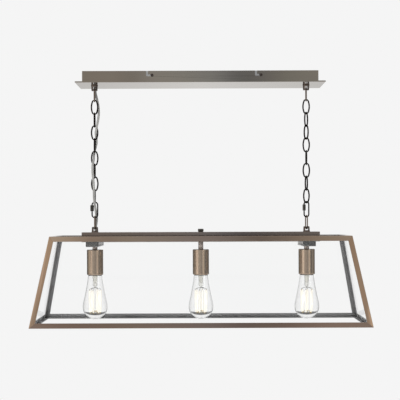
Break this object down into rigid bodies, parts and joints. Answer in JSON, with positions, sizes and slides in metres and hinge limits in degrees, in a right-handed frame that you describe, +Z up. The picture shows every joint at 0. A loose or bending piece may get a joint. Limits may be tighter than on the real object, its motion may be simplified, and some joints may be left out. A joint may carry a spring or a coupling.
{
  "type": "linear island pendant",
  "caption": "Long glazed lantern pendant with exposed bulbs, hung by chains from a shallow box canopy on a ceiling bracket.",
  "frame": {"origin": "centre of the ceiling bracket on the ceiling plane", "axes": "+X along the light, -Y its front, +Z up"},
  "size_m": [0.854, 0.254, 0.6491],
  "materials": {
    "bronze_frame": "satin antique bronze",
    "bronze_canopy": "satin antique bronze",
    "bronze_channel": "satin dark bronze",
    "bronze_hardware": "satin bronze",
    "brushed_bronze_cup": "brushed bronze",
    "dark_chain": "dark satin",
    "dark_steel": "dark",
    "strap_steel": "dark grey satin",
    "zinc_steel": "zinc plated",
    "pane_glass": "clear",
    "bulb_glass": "clear",
    "cap_brass": "plated",
    "filament": "pale",
    "grey_cable": "translucent grey",
    "grey_rubber": "matte",
    "black_insulator": "gloss",
    "terminal_plastic": "matte"
  },
  "bodies": {
    "ceiling_rose": {"ceiling_bracket": "zinc_steel", "canopy_box": "bronze_canopy", "canopy_plate": "bronze_canopy", "bracket_side_screws": "zinc_steel", "terminal_block": "terminal_plastic", "upper_hooks": "bronze_hardware", "upper_hook_pins": "dark_steel", "upper_hook_nuts": "zinc_steel", "canopy_grommet": "grey_rubber"},
    "left_upper_loop": {"left_upper_loop": "bronze_hardware"},
    "left_chain": {"left_chain_links": "dark_chain", "left_quick_link": "dark_chain", "supply_cable": "grey_cable"},
    "left_quick_link_nut": {"left_quick_link_nut": "dark_chain"},
    "left_lower_loop": {"left_lower_loop": "bronze_hardware"},
    "lantern": {"lower_hooks": "bronze_hardware", "lower_hook_pins": "dark_steel", "channel_nuts": "zinc_steel", "centre_channel": "bronze_channel", "channel_base_plate": "bronze_channel", "channel_grommet": "grey_rubber", "cross_straps": "strap_steel", "glass_clips": "strap_steel", "clip_screws": "zinc_steel", "lampholder_insulators": "black_insulator", "lamp_stems": "bronze_hardware", "top_rail_front": "bronze_frame", "top_rail_back": "bronze_frame", "top_rail_left": "bronze_frame", "top_rail_right": "bronze_frame", "bottom_rail_front": "bronze_frame", "bottom_rail_back": "bronze_frame", "bottom_rail_left": "bronze_frame", "bottom_rail_right": "bronze_frame", "glass_front": "pane_glass", "glass_back": "pane_glass", "glass_left": "pane_glass", "glass_right": "pane_glass", "post_front_left": "bronze_frame", "post_front_right": "bronze_frame", "post_back_left": "bronze_frame", "post_back_right": "bronze_frame", "lampholder_cup_left": "brushed_bronze_cup", "lampholder_cup_centre": "brushed_bronze_cup", "lampholder_cup_right": "brushed_bronze_cup"},
    "right_upper_loop": {"right_upper_loop": "bronze_hardware"},
    "right_chain": {"right_chain_links": "dark_chain", "right_quick_link": "dark_chain"},
    "right_quick_link_nut": {"right_quick_link_nut": "dark_chain"},
    "right_lower_loop": {"right_lower_loop": "bronze_hardware"},
    "thumb_nut": {"thumb_nut": "bronze_hardware"},
    "bulb_cap_left": {"bulb_cap_left": "cap_brass"},
    "bulb_glass_left": {"bulb_glass_left": "bulb_glass", "bulb_filament_left": "filament"},
    "bulb_cap_centre": {"bulb_cap_centre": "cap_brass"},
    "bulb_glass_centre": {"bulb_glass_centre": "bulb_glass", "bulb_filament_centre": "filament"},
    "bulb_cap_right": {"bulb_cap_right": "cap_brass"},
    "bulb_glass_right": {"bulb_glass_right": "bulb_glass", "bulb_filament_right": "filament"}
  },
  "joints": [
    {"name": "swing_fore_aft", "type": "hinge", "parent": "ceiling_rose", "child": "left_upper_loop", "pos_m": [-0.275, 0, -0.043], "axis": [1, 0, 0], "range_deg": [-25, 25]},
    {"name": "swing_lengthwise", "type": "hinge", "parent": "left_upper_loop", "child": "left_chain", "pos_m": [-0.275, 0, -0.0734], "axis": [0, 1, 0], "range_deg": [-20, 20], "deforming": ["supply_cable"]},
    {"name": "left_foot_swing", "type": "hinge", "parent": "left_chain", "child": "left_lower_loop", "pos_m": [-0.275, 0, -0.3712], "axis": [0, 1, 0], "range_deg": [-21, 21]},
    {"name": "lantern_rock", "type": "hinge", "parent": "left_lower_loop", "child": "lantern", "pos_m": [-0.275, 0, -0.4018], "axis": [1, 0, 0], "range_deg": [-20, 20]},
    {"name": "right_swing_fore_aft", "type": "hinge", "parent": "ceiling_rose", "child": "right_upper_loop", "pos_m": [0.275, 0, -0.043], "axis": [1, 0, 0], "range_deg": [-26, 26]},
    {"name": "right_swing_lengthwise", "type": "hinge", "parent": "right_upper_loop", "child": "right_chain", "pos_m": [0.275, 0, -0.0734], "axis": [0, 1, 0], "range_deg": [-21, 21]},
    {"name": "right_loop_rock", "type": "hinge", "parent": "lantern", "child": "right_lower_loop", "pos_m": [0.275, 0, -0.4018], "axis": [1, 0, 0], "range_deg": [-21, 21]},
    {"name": "left_sleeve_nut_slide", "type": "slide", "parent": "left_chain", "child": "left_quick_link_nut", "axis": [0, 0, -1], "range_m": [0, 0.0085]},
    {"name": "right_sleeve_nut_slide", "type": "slide", "parent": "right_chain", "child": "right_quick_link_nut", "axis": [0, 0, -1], "range_m": [0, 0.0085]},
    {"name": "thumb_nut_turn", "type": "hinge", "parent": "lantern", "child": "thumb_nut", "pos_m": [0, 0, -0.4088], "axis": [0, 0, 1], "continuous": true},
    {"name": "bulb_left_unscrew_drop", "type": "slide", "parent": "lantern", "child": "bulb_cap_left", "axis": [0, 0, -1], "range_m": [0, 0.0218]},
    {"name": "bulb_left_unscrew_turn", "type": "hinge", "parent": "bulb_cap_left", "child": "bulb_glass_left", "pos_m": [-0.275, 0, -0.55], "axis": [0, 0, -1], "range_deg": [0, 2160]},
    {"name": "bulb_centre_unscrew_drop", "type": "slide", "parent": "lantern", "child": "bulb_cap_centre", "axis": [0, 0, -1], "range_m": [0, 0.0218]},
    {"name": "bulb_centre_unscrew_turn", "type": "hinge", "parent": "bulb_cap_centre", "child": "bulb_glass_centre", "pos_m": [0, 0, -0.55], "axis": [0, 0, -1], "range_deg": [0, 2160]},
    {"name": "bulb_right_unscrew_drop", "type": "slide", "parent": "lantern", "child": "bulb_cap_right", "axis": [0, 0, -1], "range_m": [0, 0.0218]},
    {"name": "bulb_right_unscrew_turn", "type": "hinge", "parent": "bulb_cap_right", "child": "bulb_glass_right", "pos_m": [0.275, 0, -0.55], "axis": [0, 0, -1], "range_deg": [0, 2160]}
  ],
  "couplings": [
    {"joint": "left_foot_swing", "follows": "swing_lengthwise", "ratio": -1},
    {"joint": "right_swing_fore_aft", "follows": "swing_fore_aft", "ratio": 1},
    {"joint": "right_swing_lengthwise", "follows": "swing_lengthwise", "ratio": 1},
    {"joint": "right_loop_rock", "follows": "lantern_rock", "ratio": -1},
    {"joint": "bulb_left_unscrew_drop", "follows": "bulb_left_unscrew_turn", "m_per_rad": 0.00057296},
    {"joint": "bulb_centre_unscrew_drop", "follows": "bulb_centre_unscrew_turn", "m_per_rad": 0.00057296},
    {"joint": "bulb_right_unscrew_drop", "follows": "bulb_right_unscrew_turn", "m_per_rad": 0.00057296}
  ]
}
